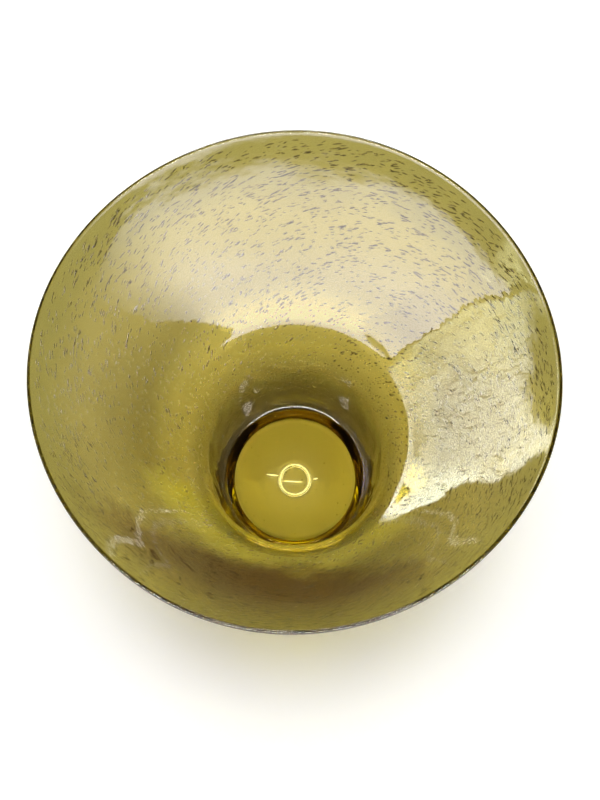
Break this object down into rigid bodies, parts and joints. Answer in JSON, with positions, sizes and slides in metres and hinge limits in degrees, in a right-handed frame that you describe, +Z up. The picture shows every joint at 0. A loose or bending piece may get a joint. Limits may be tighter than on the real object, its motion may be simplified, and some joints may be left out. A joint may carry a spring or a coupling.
{
  "type": "art glass bowl",
  "caption": "Deep flared bowl of amber-olive seeded glass on a thick round solid foot, with a thin fire-polished rim.",
  "frame": {"origin": "centre of the foot's resting face, on the surface the bowl stands on", "axes": "+Z up through the centre of the mouth; the bowl is round, so +X and +Y are free, and +Y points away from a viewer in front"},
  "size_m": [0.284, 0.284, 0.154],
  "materials": {
    "seeded_glass": "fire-polished clear amber-olive glass with seeds",
    "casing_glass": "fire-polished clear amber-olive glass",
    "foot_glass": "thick clear amber-yellow glass",
    "lip_glass": "fire-polished round lip",
    "scar_glass": "broken and fire-softened glass ring"
  },
  "bodies": {
    "root": {"inner_gather": "seeded_glass", "outer_gather": "casing_glass", "base_pad": "foot_glass", "rim_lip": "lip_glass", "pontil_scar": "scar_glass"}
  },
  "joints": []
}
